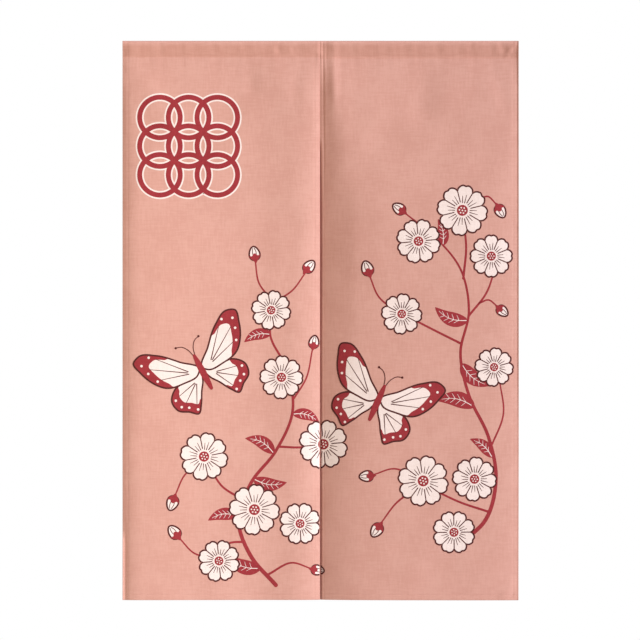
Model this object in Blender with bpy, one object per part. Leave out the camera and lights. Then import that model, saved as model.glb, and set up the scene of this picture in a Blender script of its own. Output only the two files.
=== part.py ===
"""A doorway curtain of two cloth panels, hanging from the rod channel along its top.

Metres, +Z up. The origin is the middle of the top edge. The curtain's face looks towards -Y,
and +X runs to the right as one looks at the face. "Back" is a distance towards +Y.
"""

import bpy
import numpy as np

# Driving sizes
CURTAIN_WIDTH = 0.850
CURTAIN_DROP = 1.200
CHANNEL_HEIGHT = 0.0327
SEAM_FOOT = 0.215
CLOTH = 0.0012
HEM_CLOTH = 0.0020
PIECE_GAP = 0.0003

# The doubled hems
SIDE_HEM = 0.0130
FOOT_HEM = 0.0120
HEM_STEP = 0.0020

# The rod channel: a flat loop of cloth, pinched shut along its lower edge
CHANNEL_DEPTH = 0.0100
CHANNEL_PINCH = 0.0030
CHANNEL_SEAM = 0.0040
CHANNEL_CROWN = 0.0060
CHANNEL_CLOSES_FROM = 0.40

# How far the curtain's right edge is drawn in at the foot, and where that starts
DRAWN_IN = 0.0006
DRAWN_IN_FROM = 0.800

# Below the seam the left panel laps over the right one, once the right one hangs behind it
LAP = 0.0030
LAP_STARTS = 0.300
LAP_FULL = 0.420

# Depths below the top edge at which the fold table gives each fold
FOLD_HEIGHTS = (0.110, SEAM_FOOT, 0.340, 0.700, CURTAIN_DROP)

# Each fold line runs down a panel, from x_top at the channel to x_foot at the foot hem.
# The last five columns say how far back it lies at each of the fold heights.
# Columns: x_top, x_foot, back near the channel, at the seam's end, below it, halfway, at the foot
LEFT_FOLDS = (
    (-0.4250, -0.4250, 0.0030, 0.0040, 0.0040, 0.0035, 0.0030),
    (-0.4170, -0.4170, 0.0000, 0.0005, 0.0004, -0.0001, -0.0005),
    (-0.4090, -0.4080, -0.0015, -0.0015, -0.0018, -0.0025, -0.0029),
    (-0.3980, -0.3960, -0.0023, -0.0028, -0.0034, -0.0042, -0.0047),
    (-0.3750, -0.3700, -0.0025, -0.0034, -0.0040, -0.0050, -0.0055),
    (-0.2600, -0.2500, -0.0008, -0.0006, 0.0004, 0.0002, 0.0000),
    (-0.1700, -0.1600, 0.0012, 0.0018, 0.0044, 0.0046, 0.0050),
    (-0.1300, -0.1220, 0.0002, 0.0022, 0.0054, 0.0058, 0.0061),
    (-0.0850, -0.0830, -0.0018, 0.0014, 0.0044, 0.0048, 0.0049),
    (-0.0540, -0.0540, -0.0026, 0.0008, 0.0036, 0.0041, 0.0042),
    (-0.0290, -0.0290, -0.0022, 0.0022, 0.0058, 0.0066, 0.0064),
    (-0.0130, -0.0130, -0.0004, 0.0047, 0.0091, 0.0100, 0.0096),
    (0.0000, 0.0000, 0.0020, 0.0082, 0.0134, 0.0142, 0.0136),
)
RIGHT_FOLDS = (
    (-LAP, -LAP, 0.0026, 0.0092, 0.0185, 0.0196, 0.0188),
    (0.0000, 0.0000, 0.0020, 0.0082, 0.0173, 0.0184, 0.0176),
    (0.0120, 0.0120, -0.0014, 0.0038, 0.0125, 0.0136, 0.0129),
    (0.0270, 0.0280, -0.0028, 0.0002, 0.0067, 0.0078, 0.0074),
    (0.0460, 0.0480, -0.0031, -0.0014, 0.0014, 0.0022, 0.0022),
    (0.0700, 0.0740, -0.0033, -0.0024, -0.0028, -0.0022, -0.0018),
    (0.1050, 0.1100, -0.0035, -0.0034, -0.0062, -0.0062, -0.0054),
    (0.1700, 0.1750, -0.0036, -0.0050, -0.0098, -0.0110, -0.0100),
    (0.2600, 0.2700, -0.0040, -0.0066, -0.0124, -0.0144, -0.0134),
    (0.3450, 0.3500, -0.0044, -0.0076, -0.0132, -0.0154, -0.0146),
    (0.3880, 0.3900, -0.0040, -0.0070, -0.0121, -0.0141, -0.0134),
    (0.4100, 0.4100, -0.0030, -0.0056, -0.0102, -0.0122, -0.0116),
    (0.4250, 0.4250, -0.0010, -0.0032, -0.0078, -0.0098, -0.0093),
)

# Soft creases that slant across the folds. A crease that stands forward has a negative depth.
# Columns: x and drop of its upper end, x and drop of its lower end, half width, depth
CREASES = (
    (-0.146, 0.045, -0.150, 0.115, 0.016, 0.0016),
    (-0.046, 0.045, -0.058, 0.140, 0.014, 0.0014),
    (-0.056, 0.360, -0.066, 0.520, 0.018, 0.0012),
    (-0.385, 0.060, -0.330, 0.190, 0.022, -0.0010),
    (0.135, 0.150, 0.070, 0.250, 0.024, -0.0014),
    (0.228, 0.040, 0.215, 0.180, 0.032, 0.0030),
    (0.372, 0.040, 0.398, 0.150, 0.018, 0.0014),
    (0.380, 1.196, 0.416, 1.150, 0.010, -0.0022),
)

# Puckers in the channel's face, drawn up by its stitches. Columns: x, half width, depth
PUCKERS = (
    (-0.4170, 0.0060, 0.0011),
    (-0.0860, 0.0100, 0.0009),
    (-0.0500, 0.0075, 0.0011),
    (-0.0310, 0.0070, 0.0009),
    (0.0210, 0.0100, 0.0012),
    (0.1820, 0.0110, 0.0006),
    (0.2460, 0.0110, 0.0007),
    (0.2980, 0.0110, 0.0006),
    (0.3620, 0.0110, 0.0008),
    (0.4040, 0.0080, -0.0009),
)

# How finely the surfaces are divided: lengths of a step, and points in the channel's section
PANEL_COLUMN = 0.0175
UPPER_ROW = 0.0165
LOWER_ROW = 0.0450
CHANNEL_STEP = 0.0095
CROWN_POINTS = 4
WALL_POINTS = 5

# The finish of each piece: red, green, blue, roughness
FINISHES = {
    "left_panel": (0.83, 0.42, 0.35, 0.90),
    "right_panel": (0.80, 0.39, 0.32, 0.90),
    "left_rod_channel": (0.76, 0.36, 0.29, 0.92),
    "right_rod_channel": (0.74, 0.35, 0.28, 0.92),
}


def ease(value, start, end):
    """Nought before start, one past end, and a smooth step between them."""
    t = np.clip((value - start) / (end - start), 0.0, 1.0)
    return t * t * (3.0 - 2.0 * t)


def smooth_through(at, knots, heights):
    """A smooth curve through the knots: cubic pieces, each knot's slope from its neighbours."""
    slopes = np.gradient(heights, knots)
    piece = np.clip(np.searchsorted(knots, at) - 1, 0, len(knots) - 2)
    span = knots[piece + 1] - knots[piece]
    t = (at - knots[piece]) / span
    start = (1 + 2 * t) * (1 - t) ** 2 * heights[piece] + t * (1 - t) ** 2 * span * slopes[piece]
    end = t * t * (3 - 2 * t) * heights[piece + 1] + t * t * (t - 1) * span * slopes[piece + 1]
    return start + end


def crease_depth(x, drop):
    """The depth that the slanting creases add: a soft bell across each, fading at its ends."""
    depth = np.zeros_like(x)
    for x_up, drop_up, x_low, drop_low, half_width, height in CREASES:
        run = np.array((x_low - x_up, drop_low - drop_up))
        length = np.hypot(*run)
        along = ((x - x_up) * run[0] + (drop - drop_up) * run[1]) / length
        across = ((x - x_up) * run[1] - (drop - drop_up) * run[0]) / length
        past = np.maximum(0.0, np.abs(along - length / 2) - length / 4) / (length / 4)
        depth += height * np.exp(-((across / half_width) ** 2) - past ** 2)
    return depth


def cloth_back(folds, x, drop):
    """How far back the face of a panel lies, at one drop below the top edge and many x."""
    table = np.array(folds)
    run = (drop - CHANNEL_HEIGHT) / (CURTAIN_DROP - CHANNEL_HEIGHT)
    knots = table[:, 0] + (table[:, 1] - table[:, 0]) * run
    heights = np.array((CHANNEL_HEIGHT,) + FOLD_HEIGHTS)
    lies = np.array([float(smooth_through(np.array([drop]), heights, np.append(0.0, row[2:]))[0])
                     for row in table])
    hangs_free = ease(drop, CHANNEL_HEIGHT, SEAM_FOOT / 2)
    return smooth_through(x, knots, lies) + hangs_free * crease_depth(x, np.full_like(x, drop))


def hem_lines(start, end, hem, step):
    """Rows or columns from start to end, with a close pair where each hem's doubled cloth stops."""
    inner = np.linspace(start + hem + HEM_STEP, end - hem - HEM_STEP,
                        max(2, int(round((end - start) / step)) - 1))
    return np.concatenate(((start, start + hem / 2, start + hem), inner,
                           (end - hem, end - hem / 2, end)))


def panel_rows():
    """Drops of a panel's rows: close together down to the seam's end, wider apart below it."""
    top = CHANNEL_HEIGHT + PIECE_GAP
    upper = np.linspace(top, SEAM_FOOT, int(round((SEAM_FOOT - top) / UPPER_ROW)) + 1)
    foot = CURTAIN_DROP - FOOT_HEM
    lower = np.linspace(SEAM_FOOT, foot - HEM_STEP,
                        int(round((foot - SEAM_FOOT) / LOWER_ROW)) + 1)[1:]
    return np.concatenate((upper, lower, (foot, foot + FOOT_HEM / 2, CURTAIN_DROP)))


def panel_edges(side, drop):
    """The x of a panel's left and right edges at a drop below the top edge."""
    half_gap = PIECE_GAP / 2
    if side == "left":
        return -CURTAIN_WIDTH / 2, -half_gap
    tucked = (LAP + half_gap) * ease(drop, LAP_STARTS, LAP_FULL)
    drawn_in = DRAWN_IN * ease(drop, DRAWN_IN_FROM, CURTAIN_DROP)
    return half_gap - tucked, CURTAIN_WIDTH / 2 - drawn_in


def finish(name):
    """The material of one piece."""
    red, green, blue, roughness = FINISHES[name]
    material = bpy.data.materials.new(name)
    material.use_nodes = True
    shader = material.node_tree.nodes["Principled BSDF"]
    shader.inputs["Base Color"].default_value = (red, green, blue, 1.0)
    shader.inputs["Roughness"].default_value = roughness
    shader.inputs["Metallic"].default_value = 0.0
    return material


def add_piece(name, points, faces):
    """An object from a list of points and faces, shaded smooth, with its own material."""
    mesh = bpy.data.meshes.new(name)
    mesh.from_pydata([tuple(point) for point in points], [], faces)
    mesh.update()
    mesh.shade_smooth()
    piece = bpy.data.objects.new(name, mesh)
    piece.data.materials.append(finish(name))
    bpy.context.scene.collection.objects.link(piece)
    return piece


def make_panel(side, folds):
    """A panel: its face on the folds, thickened towards the back, and thicker along the hems."""
    drops = panel_rows()
    width = CURTAIN_WIDTH / 2
    columns = hem_lines(0.0, width, SIDE_HEM, PANEL_COLUMN)
    points = []
    for drop in drops:
        left, right = panel_edges(side, drop)
        x = left + columns / width * (right - left)
        back = cloth_back(folds, x, drop) - CHANNEL_PINCH / 2
        points.extend(zip(x, back, np.full_like(x, -drop)))
    across = len(columns)
    faces = []
    for row in range(len(drops) - 1):
        for column in range(across - 1):
            corner = row * across + column
            faces.append((corner, corner + across, corner + across + 1, corner + 1))
    panel = add_piece(side + "_panel", points, faces)

    hem = panel.vertex_groups.new(name="hem")
    in_side_hem = (columns <= SIDE_HEM) | (columns >= width - SIDE_HEM)
    in_foot_hem = drops >= CURTAIN_DROP - FOOT_HEM
    doubled = in_side_hem[None, :] | in_foot_hem[:, None]
    hem.add([int(point) for point in np.flatnonzero(doubled)], 1.0, "REPLACE")

    thicken = panel.modifiers.new("thickness", "SOLIDIFY")
    thicken.thickness = HEM_CLOTH
    thicken.offset = -1.0
    thicken.vertex_group = hem.name
    thicken.thickness_vertex_group = CLOTH / HEM_CLOTH
    return panel


def channel_section():
    """Half sections of the channel's outside and inside: drop, half depth and pucker share.

    The crown is a quarter of an ellipse. Below it the two walls run side by side, and then
    close in to the pinched seam from CHANNEL_CLOSES_FROM of the way down.
    """
    crown = np.linspace(0.0, np.pi / 2, CROWN_POINTS)
    wall = np.linspace(0.0, 1.0, WALL_POINTS + 1)[1:]
    sections = []
    for inset, foot, pinch in ((0.0, CHANNEL_HEIGHT, CHANNEL_PINCH / 2),
                               (CLOTH, CHANNEL_HEIGHT - CHANNEL_SEAM, CLOTH / 2)):
        half = CHANNEL_DEPTH / 2 - inset
        rounding = CHANNEL_CROWN - inset
        drop = np.append(CHANNEL_CROWN - rounding * np.cos(crown),
                         CHANNEL_CROWN + (foot - CHANNEL_CROWN) * wall)
        closing = ease(wall, CHANNEL_CLOSES_FROM, 1.0)
        depth = np.append(half * np.sin(crown), half + (pinch - half) * closing)
        share = np.sin(np.pi * np.clip(drop / foot, 0.0, 1.0))
        sections.append((drop, depth, share))
    return sections


def pucker_depth(x):
    """How far the puckers draw the channel's face back at x."""
    return sum(depth * np.exp(-((x - middle) / half_width) ** 2)
               for middle, half_width, depth in PUCKERS)


def make_channel(side):
    """A rod channel: a tube of cloth open at both ends, its face drawn up in puckers."""
    if side == "left":
        start, end = -CURTAIN_WIDTH / 2, -PIECE_GAP / 2
    else:
        start, end = PIECE_GAP / 2, CURTAIN_WIDTH / 2
    stations = np.linspace(start, end, int(round((end - start) / CHANNEL_STEP)) + 1)
    points = []
    for x in stations:
        for drop, depth, share in channel_section():
            face = -depth + share * pucker_depth(x)
            rear = depth[::-1]
            loop_y = np.concatenate((face, rear[:-1]))
            loop_drop = np.concatenate((drop, drop[::-1][:-1]))
            points.extend(zip(np.full_like(loop_y, x), loop_y, -loop_drop))
    around = len(points) // (2 * len(stations))
    ring = 2 * around
    last = (len(stations) - 1) * ring
    faces = []
    for spot in range(around):
        after = (spot + 1) % around
        for here in range(0, last, ring):
            there = here + ring
            faces.append((here + spot, here + after, there + after, there + spot))
            inside = here + around
            beyond = there + around
            faces.append((inside + spot, beyond + spot, beyond + after, inside + after))
        faces.append((spot, around + spot, around + after, after))
        faces.append((last + spot, last + after, last + around + after, last + around + spot))
    return add_piece(side + "_rod_channel", points, faces)


for leftover in list(bpy.data.objects):
    bpy.data.objects.remove(leftover, do_unlink=True)

make_panel("left", LEFT_FOLDS)
make_panel("right", RIGHT_FOLDS)
make_channel("left")
make_channel("right")
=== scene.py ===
"""A salmon doorway curtain: two printed cloth panels, sewn together at the top, on a rod channel.

Metres. The origin is the middle of the top edge, and the printed face looks towards -Y.
A "drop" is a distance down from the top edge, and "back" is a distance towards +Y.
"""

import bmesh
import bpy
import numpy as np
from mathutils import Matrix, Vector


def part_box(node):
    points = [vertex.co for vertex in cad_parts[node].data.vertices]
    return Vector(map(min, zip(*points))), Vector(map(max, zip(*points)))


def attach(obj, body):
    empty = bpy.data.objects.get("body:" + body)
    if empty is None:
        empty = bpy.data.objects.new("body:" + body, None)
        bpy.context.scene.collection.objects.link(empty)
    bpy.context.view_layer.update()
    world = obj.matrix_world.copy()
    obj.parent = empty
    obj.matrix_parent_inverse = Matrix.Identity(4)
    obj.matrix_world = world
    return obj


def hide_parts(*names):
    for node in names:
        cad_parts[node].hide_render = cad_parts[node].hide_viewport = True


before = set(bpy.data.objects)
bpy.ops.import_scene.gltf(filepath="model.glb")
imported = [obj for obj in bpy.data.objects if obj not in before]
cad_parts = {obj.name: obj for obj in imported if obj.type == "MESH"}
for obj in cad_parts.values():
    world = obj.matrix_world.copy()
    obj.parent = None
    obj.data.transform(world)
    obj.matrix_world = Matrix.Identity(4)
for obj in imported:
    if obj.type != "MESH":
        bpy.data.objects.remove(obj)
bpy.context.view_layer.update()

# The two cloths
# Each half of the curtain is one piece of plain-woven salmon cotton, hemmed down both sides and
# along the foot. Its top is turned over to the back and stitched down as a channel for the rod.
# It hangs from there in soft folds: its outer edge and its slit edge both curl back.

MM = 0.001
channel_low, channel_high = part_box("left_rod_channel")
panel_low, panel_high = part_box("left_panel")
HALF_WIDTH = -panel_low.x
FOOT = -panel_low.z
CHANNEL = -channel_low.z
SEAM_FOOT = 215 * MM
CLOTH = 0.35 * MM
SIDE_HEM = 13 * MM
SIDE_HEM_ROLL = 0.45 * MM
FOOT_HEM = 12 * MM
FOOT_HEM_ROLL = 0.7 * MM
CORNER_ROLL = 0.6 * MM

CHANNEL_DEPTH = 10 * MM
CHANNEL_PINCH = 3 * MM
CHANNEL_CROWN = 6 * MM
CHANNEL_CLOSES_FROM = 0.40
CHANNEL_BULGE = 1.2 * MM
STITCH_LINE = CHANNEL + 2.0 * MM
STITCH_SINK = 0.16 * MM
STITCH_REACH = 1.3 * MM
FLAP_PAST_STITCHES = 2.5 * MM
# How far past the stitch line the channel's painted shade runs on, where the flap lies behind
FLAP_SHADE_SHOWS = {"left": 0.0 * MM, "right": 2.6 * MM}
HEM_STITCHES = 11.4 * MM
HEM_SINK = 0.22 * MM

DRAWN_IN = 0.6 * MM
DRAWN_IN_FROM = 800 * MM
SEAM_X = -1.4 * MM
LAP = 3 * MM
LAP_STARTS = 205 * MM
LAP_FULL = 300 * MM
DIVE = 5 * MM
DIVE_REACH = 2.4 * MM
LEFT_LIP = 2.1 * MM
LEFT_LIP_REACH = 3.2 * MM
RIGHT_LIP = 2.0 * MM
RIGHT_LIP_REACH = 1.8 * MM

# Fold lines, as the solids have them. Columns: x at the channel, x at the foot, and how far back
# the line lies at each of the fold drops
FOLD_DROPS = (0.110, SEAM_FOOT, 0.340, 0.700, 1.200)
FOLDS = {
    "left": (
        (-0.4250, -0.4250, 0.0024, 0.0033, 0.0032, 0.0027, 0.0022),
        (-0.4170, -0.4170, 0.0000, 0.0005, 0.0004, -0.0001, -0.0005),
        (-0.4090, -0.4080, -0.0015, -0.0015, -0.0018, -0.0025, -0.0029),
        (-0.3980, -0.3960, -0.0023, -0.0028, -0.0034, -0.0042, -0.0047),
        (-0.3750, -0.3700, -0.0025, -0.0034, -0.0040, -0.0050, -0.0055),
        (-0.2600, -0.2500, -0.0008, -0.0006, 0.0004, 0.0002, 0.0000),
        (-0.1700, -0.1600, 0.0012, 0.0018, 0.0044, 0.0046, 0.0050),
        (-0.1300, -0.1220, 0.0002, 0.0022, 0.0054, 0.0058, 0.0061),
        (-0.0850, -0.0830, -0.0018, 0.0014, 0.0044, 0.0048, 0.0049),
        (-0.0540, -0.0540, -0.0026, 0.0008, 0.0036, 0.0041, 0.0042),
        (-0.0290, -0.0290, -0.0022, 0.0022, 0.0058, 0.0066, 0.0064),
        (-0.0130, -0.0130, -0.0004, 0.0047, 0.0091, 0.0100, 0.0096),
        (0.0000, 0.0000, 0.0032, 0.0092, 0.0136, 0.0144, 0.0138),
    ),
    "right": (
        (-0.0046, -0.0046, 0.0046, 0.0108, 0.0212, 0.0222, 0.0212),
        (0.0000, 0.0000, 0.0032, 0.0092, 0.0195, 0.0205, 0.0196),
        (0.0120, 0.0120, -0.0008, 0.0056, 0.0150, 0.0160, 0.0152),
        (0.0270, 0.0280, -0.0050, 0.0006, 0.0093, 0.0103, 0.0097),
        (0.0460, 0.0480, -0.0058, -0.0034, 0.0034, 0.0043, 0.0040),
        (0.0700, 0.0740, -0.0050, -0.0044, -0.0024, -0.0016, -0.0013),
        (0.1050, 0.1100, -0.0043, -0.0048, -0.0064, -0.0063, -0.0056),
        (0.1700, 0.1750, -0.0036, -0.0050, -0.0098, -0.0110, -0.0100),
        (0.2600, 0.2700, -0.0040, -0.0066, -0.0124, -0.0144, -0.0134),
        (0.3450, 0.3500, -0.0044, -0.0076, -0.0132, -0.0154, -0.0146),
        (0.3880, 0.3900, -0.0040, -0.0070, -0.0121, -0.0141, -0.0134),
        (0.4100, 0.4100, -0.0030, -0.0056, -0.0102, -0.0122, -0.0116),
        (0.4250, 0.4250, -0.0010, -0.0032, -0.0078, -0.0098, -0.0093),
    ),
}

# Soft creases. A crease that stands forward has a negative depth.
# Columns: x and drop of its upper end, x and drop of its lower end, half width, depth
CREASES = (
    (-0.146, 0.045, -0.150, 0.115, 0.016, 0.0016),
    (-0.046, 0.045, -0.058, 0.140, 0.014, 0.0014),
    (-0.056, 0.360, -0.066, 0.520, 0.018, 0.0012),
    (-0.385, 0.060, -0.330, 0.190, 0.022, -0.0010),
    (0.135, 0.150, 0.070, 0.250, 0.024, -0.0014),
    (0.228, 0.040, 0.215, 0.180, 0.032, 0.0030),
    (0.372, 0.040, 0.398, 0.150, 0.018, 0.0014),
    (0.386, 1.196, 0.414, 1.160, 0.008, -0.0012),
)

# Lines pressed in and raised beside the seam, where the two hems meet under it, and the creases
# of the channel's outer corners. Columns as above
SEAM_LINES = (
    (-0.0104, -0.010, -0.0100, 0.052, 0.0011, 0.00030),
    (-0.0018, -0.010, -0.0014, 0.048, 0.0011, 0.00060),
    (0.0054, -0.012, 0.0074, 0.290, 0.0016, 0.00095),
    (0.0124, -0.010, 0.0122, 0.060, 0.0013, 0.00055),
    (0.0104, 0.030, 0.0108, 0.260, 0.0016, -0.00035),
    (0.0270, 0.002, 0.0290, 0.130, 0.0088, -0.00230),
)
CORNER_CREASES = (
    (0.4200, 0.004, 0.3950, 0.036, 0.0052, -0.0017),
    (0.3860, 0.004, 0.3960, 0.026, 0.0060, 0.0009),
    (0.4100, 0.028, 0.4060, 0.042, 0.0022, 0.0009),
    (-0.4255, 0.012, -0.4250, 0.074, 0.0090, 0.0026),
    (0.0160, 0.008, 0.0240, 0.030, 0.0060, 0.0010),
    (-0.0600, 0.012, -0.0540, 0.030, 0.0048, 0.0010),
    (-0.0360, 0.010, -0.0440, 0.026, 0.0042, 0.0008),
    (-0.0930, 0.012, -0.0880, 0.030, 0.0050, 0.0008),
    (0.4025, 1.198, 0.4145, 1.186, 0.0024, 0.0009),
    (-0.4191, 1.040, -0.4191, 1.240, 0.0036, 0.0008),
)

# Puckers in the channel's face. Columns: x, half width, depth
PUCKERS = (
    (-0.4250, 0.0090, 0.0020),
    (-0.0860, 0.0100, 0.0009),
    (-0.0500, 0.0075, 0.0011),
    (-0.0310, 0.0070, 0.0009),
    (0.0062, 0.0095, 0.0048),
    (0.1820, 0.0110, 0.0006),
    (0.2460, 0.0110, 0.0007),
    (0.2980, 0.0110, 0.0006),
    (0.3620, 0.0110, 0.0008),
    (0.4040, 0.0080, -0.0009),
)

# Small gathers that the stitches draw up along a seam. Columns: length of a wave, phase, height
GATHERS = ((0.0230, 0.4, 0.00016), (0.0371, 2.1, 0.00022), (0.0148, 1.3, 0.00010))
GATHER_REACH = 24 * MM

# The cloth's slight unevenness all over. Columns: wave across, wave down, phase, height
UNEVEN = (
    (0.190, 0.410, 0.3, 0.00032),
    (0.127, 0.233, 1.9, 0.00022),
    (0.083, 0.171, 4.2, 0.00012),
    (-0.151, 0.119, 2.7, 0.00014),
)


def ease(value, start, end):
    """Nought before start, one past end, and a smooth step between them."""
    t = np.clip((value - start) / (end - start), 0.0, 1.0)
    return t * t * (3.0 - 2.0 * t)


def smooth_through(at, knots, heights):
    """A smooth curve through the knots of each column: between two knots it is a cubic that
    leaves and arrives with the slopes that the neighbouring knots give."""
    span = np.diff(knots, axis=0)
    rise = np.diff(heights, axis=0) / span
    inner = (rise[1:] * span[:-1] + rise[:-1] * span[1:]) / (span[:-1] + span[1:])
    slopes = np.concatenate((rise[:1], inner, rise[-1:]))
    piece = np.clip((knots <= at).sum(axis=0) - 1, 0, len(span) - 1)[None, :]

    def of(table, step=0):
        return np.take_along_axis(table, piece + step, axis=0)[0]

    t = (at - of(knots)) / of(span)
    leaves = (1 + 2 * t) * (1 - t) ** 2 * of(heights) + t * (1 - t) ** 2 * of(span) * of(slopes)
    arrives = t * t * (3 - 2 * t) * of(heights, 1) + t * t * (t - 1) * of(span) * of(slopes, 1)
    return leaves + arrives


def crease_depth(table, x, drop):
    """What a table of creases adds: a bell curve across each, fading out past its two ends."""
    depth = np.zeros(np.broadcast(x, drop).shape)
    for x_up, drop_up, x_low, drop_low, half_width, height in table:
        run = np.array((x_low - x_up, drop_low - drop_up))
        length = np.hypot(*run)
        along = ((x - x_up) * run[0] + (drop - drop_up) * run[1]) / length
        across = ((x - x_up) * run[1] - (drop - drop_up) * run[0]) / length
        past = np.maximum(0.0, np.abs(along - length / 2) - length / 4) / (length / 4)
        depth += height * np.exp(-((across / half_width) ** 2) - past ** 2)
    return depth


def unevenness(x, drop):
    """A few long waves that cross at odd angles, and short gathers that die away from the seam."""
    waves = sum(height * np.sin(2 * np.pi * (x / across + drop / down) + phase)
                for across, down, phase, height in UNEVEN)
    short = sum(height * np.sin(2 * np.pi * x / length + phase)
                for length, phase, height in GATHERS)
    return waves + short * np.exp(-np.abs(drop - STITCH_LINE) / GATHER_REACH)


def hem_groove(side, x, drop):
    """The shallow grooves that the hem stitches pull into the face along both side edges."""
    first, last = panel_edges(side, drop)
    inward = np.minimum(x - first, last - x)
    return HEM_SINK * np.exp(-((inward - HEM_STITCHES) / STITCH_REACH) ** 2)


def edge_lip(side, x, drop):
    """How far a panel's outer edge bends forward: a bell curve at the edge. The right one does
    so all the way down, less towards the foot, and the left one only near its foot."""
    first, last = panel_edges(side, drop)
    if side == "left":
        return LEFT_LIP * ease(drop, 1.050, 1.075) * np.exp(-((x - first) / LEFT_LIP_REACH) ** 2)
    weaker = 1 - 0.55 * ease(drop, 0.70, 0.85)
    return RIGHT_LIP * weaker * np.exp(-((last - x) / RIGHT_LIP_REACH) ** 2)


def face_back(side, x, drop):
    """How far back the printed face lies: the folds, creases and unevenness, and grooves where
    the stitches pull the cloth in. Below the seam the right panel's edge dives behind the left."""
    shape = np.broadcast(x, drop).shape
    x = np.broadcast_to(x, shape).ravel()
    drop = np.broadcast_to(drop, shape).ravel()
    table = np.array(FOLDS[side])
    run = (drop - CHANNEL) / (FOOT - CHANNEL)
    knots = table[:, :1] + (table[:, 1:2] - table[:, :1]) * run
    drops = np.array((CHANNEL,) + FOLD_DROPS)[:, None] + 0 * drop
    lies = np.stack([smooth_through(drop, drops, np.append(0.0, row[2:])[:, None] + 0 * drop)
                     for row in table])
    if side == "right":
        open_below = ease(drop, SEAM_FOOT - 5 * MM, SEAM_FOOT + 22 * MM)
        lies = lies + DIVE * open_below * np.exp(-(np.maximum(x + 1 * MM, 0) / DIVE_REACH) ** 2)
    free = ease(drop, CHANNEL, SEAM_FOOT / 2)
    back = smooth_through(x, knots, lies) + free * crease_depth(CREASES, x, drop)
    back = back + unevenness(x, drop) * ease(drop, CHANNEL - GATHER_REACH, CHANNEL + GATHER_REACH)
    groove = STITCH_SINK * np.exp(-((drop - STITCH_LINE) / STITCH_REACH) ** 2)
    groove += HEM_SINK * np.exp(-((drop - (FOOT - HEM_STITCHES)) / STITCH_REACH) ** 2)
    groove += hem_groove(side, x, drop) + crease_depth(SEAM_LINES, x, drop)
    groove += crease_depth(CORNER_CREASES, x, drop) - edge_lip(side, x, drop)
    return (back + groove - CHANNEL_PINCH / 2).reshape(shape)


def panel_edges(side, drop):
    """The x of a panel's two edges: straight, but for the right panel, whose slit edge slips
    behind the left panel below the seam and whose outer edge is drawn in towards the foot."""
    if side == "left":
        return -HALF_WIDTH + 0 * drop, SEAM_X + 0 * drop
    tucked = LAP * ease(drop, LAP_STARTS, LAP_FULL)
    drawn_in = DRAWN_IN * ease(drop, DRAWN_IN_FROM, FOOT)
    return SEAM_X - tucked, HALF_WIDTH - drawn_in


def channel_rows():
    """The channel's loop from its stitched-down back edge, up, over the crown and down the face.
    The back wall stands upright and closes in to the seam, the face wall slopes to it from the
    crown's rounded brow, and half an ellipse joins them. Gives drop, y, and a share that is one
    where the back wall meets the seam and nought from its middle on."""
    wall = np.linspace(1.0, 0.0, 10)[:-1]
    wall_drop = CHANNEL_CROWN + (STITCH_LINE - CHANNEL_CROWN) * wall
    rear = CHANNEL_DEPTH / 2
    front = CHANNEL_DEPTH / 2 + CHANNEL_BULGE
    closing = ease(wall, CHANNEL_CLOSES_FROM, 1.0)
    rear_y = rear + (-CHANNEL_PINCH / 2 - rear) * closing
    brow = np.sqrt(wall ** 2 + 0.15 ** 2) - 0.15
    front_y = -front + (front - CHANNEL_PINCH / 2) * brow / brow.max()
    turn = np.linspace(np.pi / 2, -np.pi / 2, 15)
    crown_drop = CHANNEL_CROWN * (1 - np.cos(turn))
    crown_y = np.where(turn > 0, rear, front) * np.sin(turn)
    flap = STITCH_LINE + np.array((1.0, 0.5)) * FLAP_PAST_STITCHES
    return (np.concatenate((flap, wall_drop, crown_drop, wall_drop[:0:-1])),
            np.concatenate((0 * flap - CHANNEL_PINCH / 2, rear_y, crown_y, front_y[:0:-1])),
            np.concatenate((1 + 0 * flap, closing, 0 * crown_y, 0 * front_y[:0:-1])))


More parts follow.
